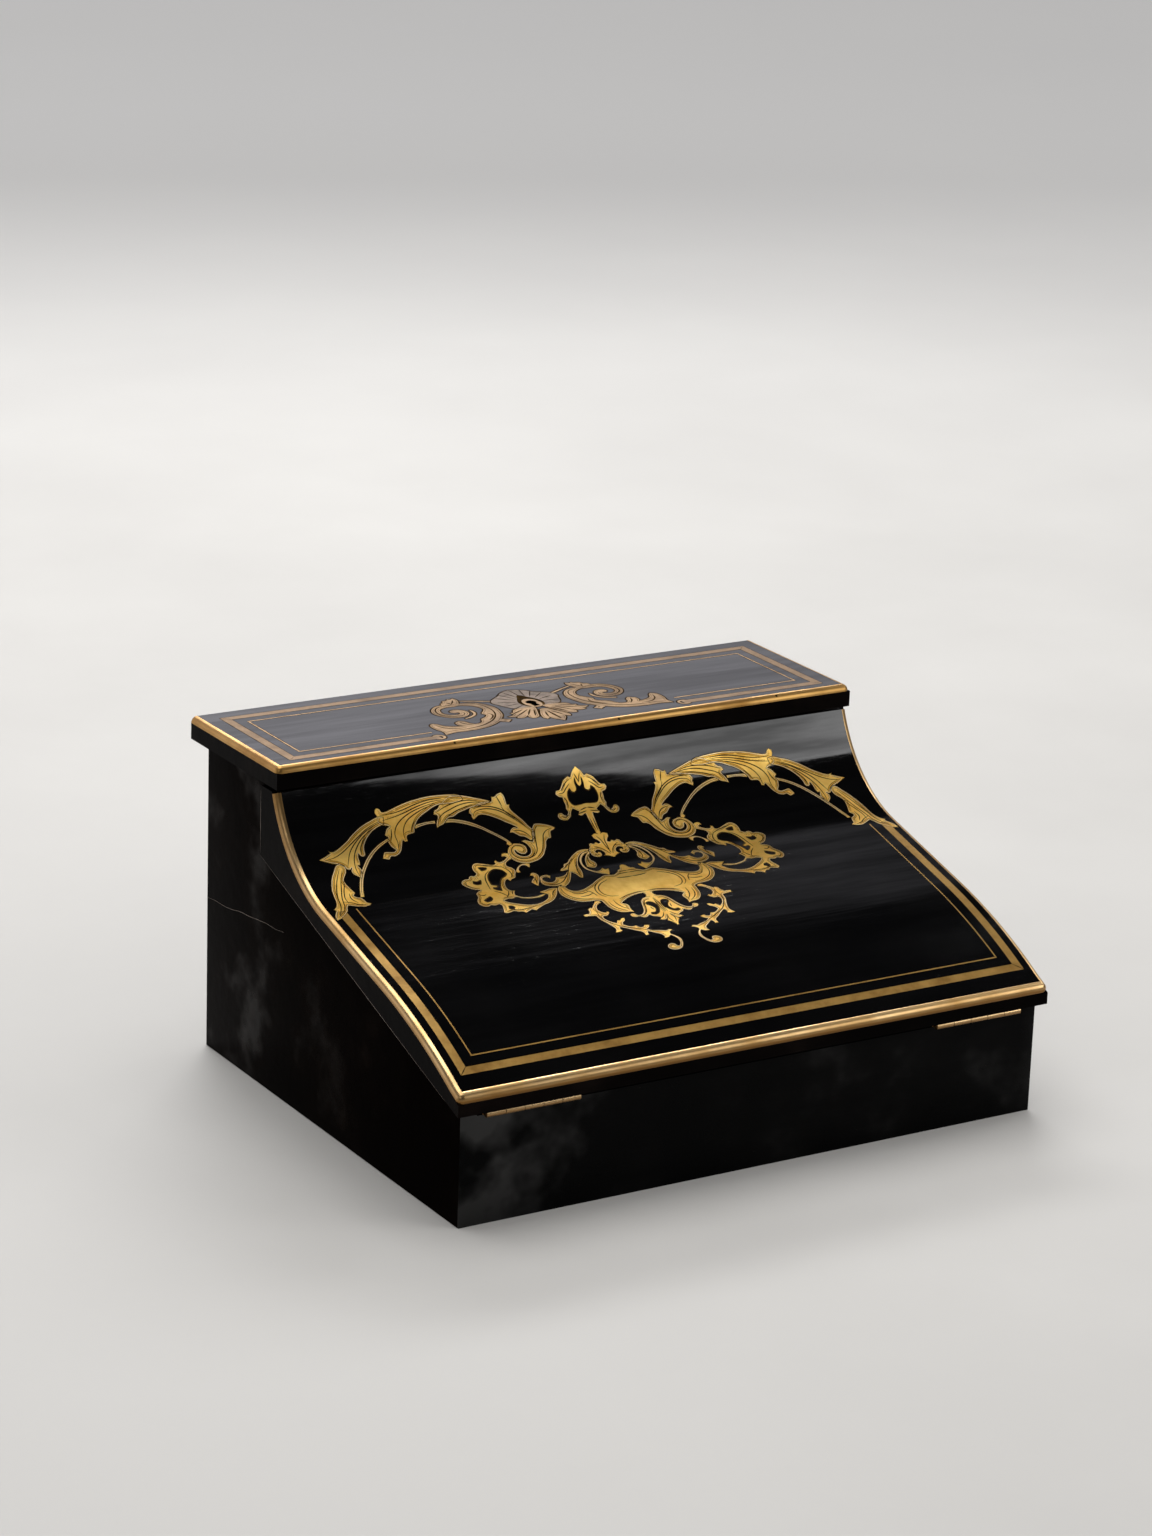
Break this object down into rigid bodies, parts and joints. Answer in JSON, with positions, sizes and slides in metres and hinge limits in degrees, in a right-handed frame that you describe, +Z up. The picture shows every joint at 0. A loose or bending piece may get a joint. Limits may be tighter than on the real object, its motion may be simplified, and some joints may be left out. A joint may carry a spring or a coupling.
{
  "type": "slope-front writing box",
  "caption": "Ebonised slope-front writing box with brass scroll marquetry, a hinged flat lid over an ink compartment and a serpentine flap that folds out as a writing slope.",
  "frame": {"origin": "centre of the carcass underside, on the surface the box stands on", "axes": "+X to the right across the box, +Y from the front to the back, +Z up"},
  "size_m": [0.348, 0.287, 0.179],
  "materials": {
    "ebonised_wood": "black french polish, high gloss",
    "inner_wood": "polished rosewood",
    "brass": "aged polished brass",
    "lock_steel": "filed steel",
    "ink_glass": "clear pressed glass",
    "leather": "worn skiver",
    "lining": "matt lining"
  },
  "bodies": {
    "carcass": {"bottom_board": "ebonised_wood", "left_side": "ebonised_wood", "right_side": "ebonised_wood", "front_board": "ebonised_wood", "back_board": "ebonised_wood", "well_lining": "lining", "shelf_cleats": "inner_wood", "ink_shelf": "inner_wood", "ink_front": "inner_wood", "left_divider": "inner_wood", "right_divider": "inner_wood", "pen_tray": "inner_wood", "left_inkwell": "ink_glass", "right_inkwell": "ink_glass", "left_ink_collar": "brass", "right_ink_collar": "brass", "ink_cap_pins": "brass", "left_flap_hinge_lower": "brass", "right_flap_hinge_lower": "brass", "flap_hinge_pins": "brass", "left_lid_hinge_lower": "brass", "right_lid_hinge_lower": "brass", "lid_hinge_pins": "brass", "carcass_screws": "brass"},
    "lid": {"lid_board": "ebonised_wood", "lid_veneer": "ebonised_wood", "lid_front_bead": "brass", "lid_left_bead": "brass", "lid_right_bead": "brass", "lid_wide_line": "brass", "lid_thin_line": "brass", "lid_scrolls": "brass", "keyhole_rim": "brass", "lock_plate": "brass", "lock_case": "brass", "lock_screws": "brass", "left_lid_hinge_upper": "brass", "right_lid_hinge_upper": "brass", "lid_screws": "brass"},
    "lock_bolt": {"lock_bolt": "lock_steel"},
    "flap": {"flap_board": "ebonised_wood", "flap_veneer": "ebonised_wood", "flap_left_bead": "brass", "flap_right_bead": "brass", "flap_lip_bead": "brass", "flap_wide_line": "brass", "flap_thin_line": "brass", "flap_scrolls": "brass", "flap_rocaille": "brass", "flap_cartouche": "brass", "writing_leather": "leather", "strike_plate": "brass", "left_flap_hinge_upper": "brass", "right_flap_hinge_upper": "brass", "flap_screws": "brass"},
    "left_cap": {"left_ink_cap": "brass"},
    "right_cap": {"right_ink_cap": "brass"}
  },
  "joints": [
    {"name": "lid_hinge", "type": "hinge", "parent": "carcass", "child": "lid", "pos_m": [0, 0.137, 0.1668], "axis": [-1, 0, 0], "range_deg": [0, 100]},
    {"name": "flap_hinge", "type": "hinge", "parent": "carcass", "child": "flap", "pos_m": [0, -0.1375, 0.058], "axis": [1, 0, 0], "range_deg": [0, 165.8]},
    {"name": "lock_throw", "type": "slide", "parent": "lid", "child": "lock_bolt", "axis": [0, -1, 0], "range_m": [0, 0.0055]},
    {"name": "left_cap_hinge", "type": "hinge", "parent": "carcass", "child": "left_cap", "pos_m": [-0.13475, 0.1152, 0.1243], "axis": [-1, 0, 0], "range_deg": [0, 90]},
    {"name": "right_cap_hinge", "type": "hinge", "parent": "carcass", "child": "right_cap", "pos_m": [0.13475, 0.1152, 0.1243], "axis": [-1, 0, 0], "range_deg": [0, 90]}
  ]
}
